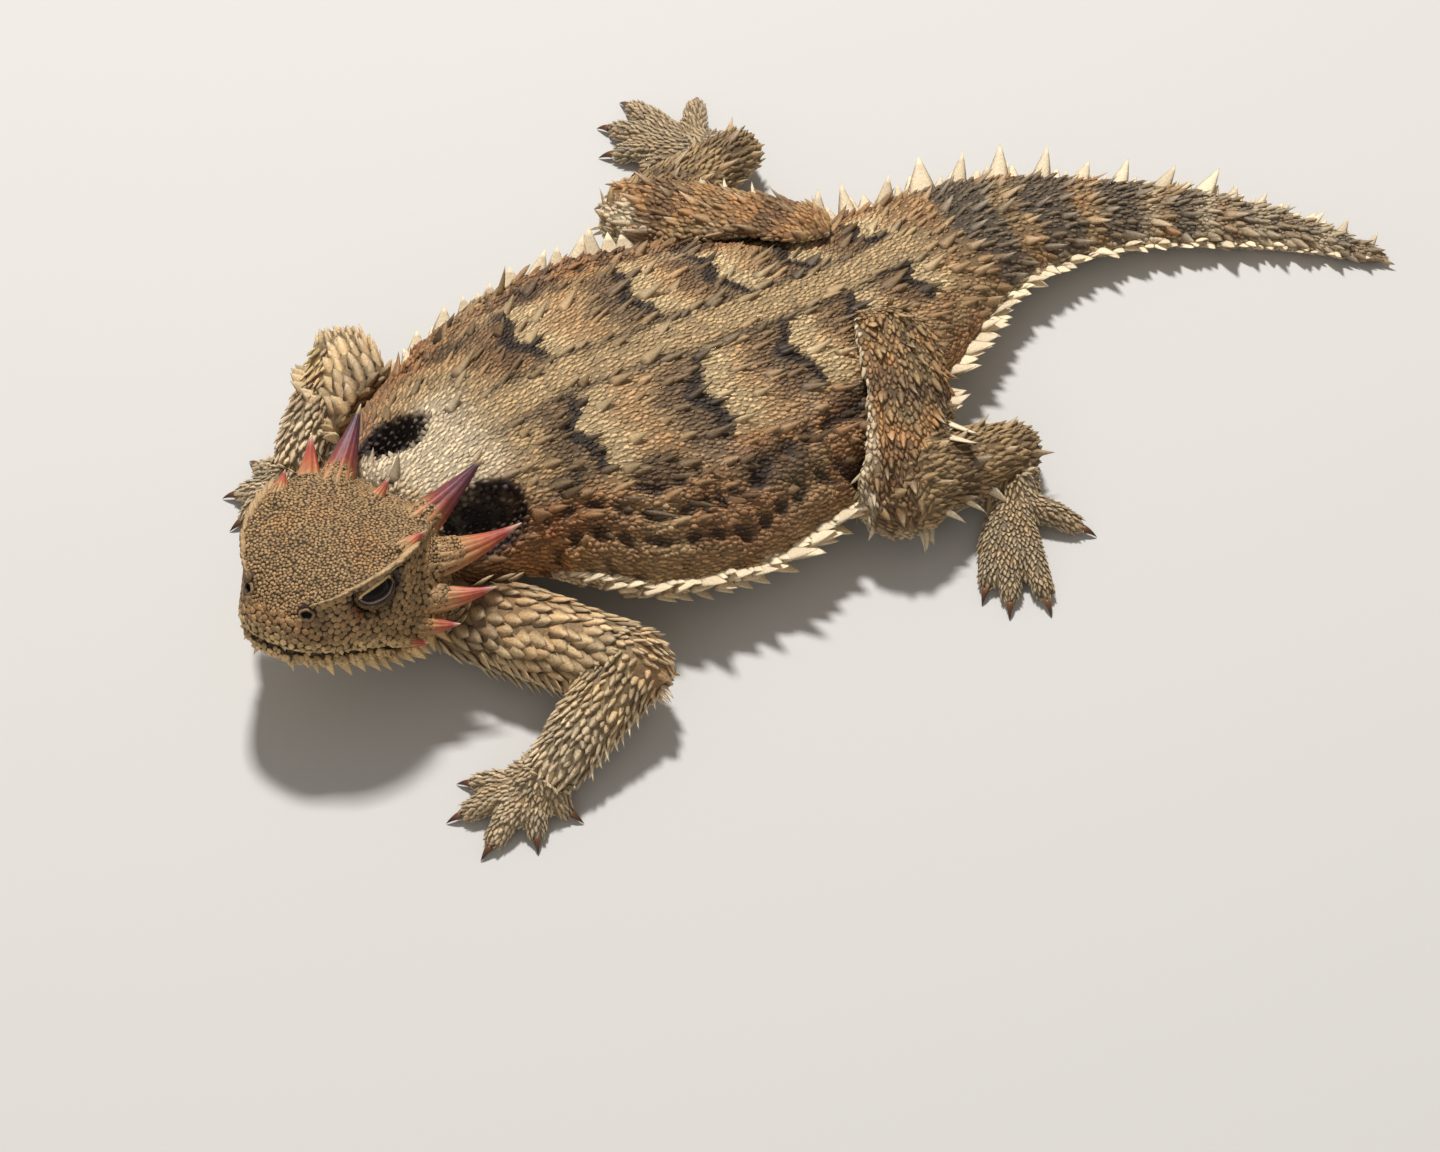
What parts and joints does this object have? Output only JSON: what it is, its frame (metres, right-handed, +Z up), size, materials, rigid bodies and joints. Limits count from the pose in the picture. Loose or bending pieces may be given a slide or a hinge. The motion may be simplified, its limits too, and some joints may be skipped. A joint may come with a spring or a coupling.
{
  "type": "horned lizard figure",
  "caption": "Life-size horned lizard resting flat, head raised and turned, with a crown of horns, fringed flanks and a short spiny tail.",
  "frame": {"origin": "on the floor under the middle of the trunk, on the flat of the belly", "axes": "+Z up, +Y from head to tail, +X to the animal's left"},
  "size_m": [0.1022, 0.1583, 0.0247],
  "materials": {
    "skin": "rough",
    "horn": "satin",
    "claw": "satin",
    "eye": "gloss"
  },
  "bodies": {
    "root": {"head": "skin", "lower_jaw": "skin", "eye_left": "eye", "occipital_horn_left": "horn", "temporal_horn_1_left": "horn", "temporal_horn_2_left": "horn", "temporal_horn_3_left": "horn", "temporal_horn_4_left": "horn", "brow_horn_left": "horn", "eye_right": "eye", "occipital_horn_right": "horn", "temporal_horn_1_right": "horn", "temporal_horn_2_right": "horn", "temporal_horn_3_right": "horn", "temporal_horn_4_right": "horn", "brow_horn_right": "horn", "interoccipital_horn": "horn", "neck": "skin", "trunk": "skin", "tail_base": "skin", "tail_middle": "skin", "tail_tip": "skin", "upper_arm_left": "skin", "forearm_left": "skin", "hand_left": "skin", "hand_left_claw_1": "claw", "hand_left_claw_2": "claw", "hand_left_claw_3": "claw", "hand_left_claw_4": "claw", "hand_left_claw_5": "claw", "upper_arm_right": "skin", "forearm_right": "skin", "hand_right": "skin", "hand_right_claw_1": "claw", "hand_right_claw_2": "claw", "hand_right_claw_3": "claw", "hand_right_claw_4": "claw", "hand_right_claw_5": "claw", "thigh_left": "skin", "shank_left": "skin", "foot_left": "skin", "foot_left_claw_1": "claw", "foot_left_claw_2": "claw", "foot_left_claw_3": "claw", "foot_left_claw_4": "claw", "foot_left_claw_5": "claw", "thigh_right": "skin", "shank_right": "skin", "foot_right": "skin", "foot_right_claw_1": "claw", "foot_right_claw_2": "claw", "foot_right_claw_3": "claw", "foot_right_claw_4": "claw", "foot_right_claw_5": "claw"}
  },
  "joints": []
}
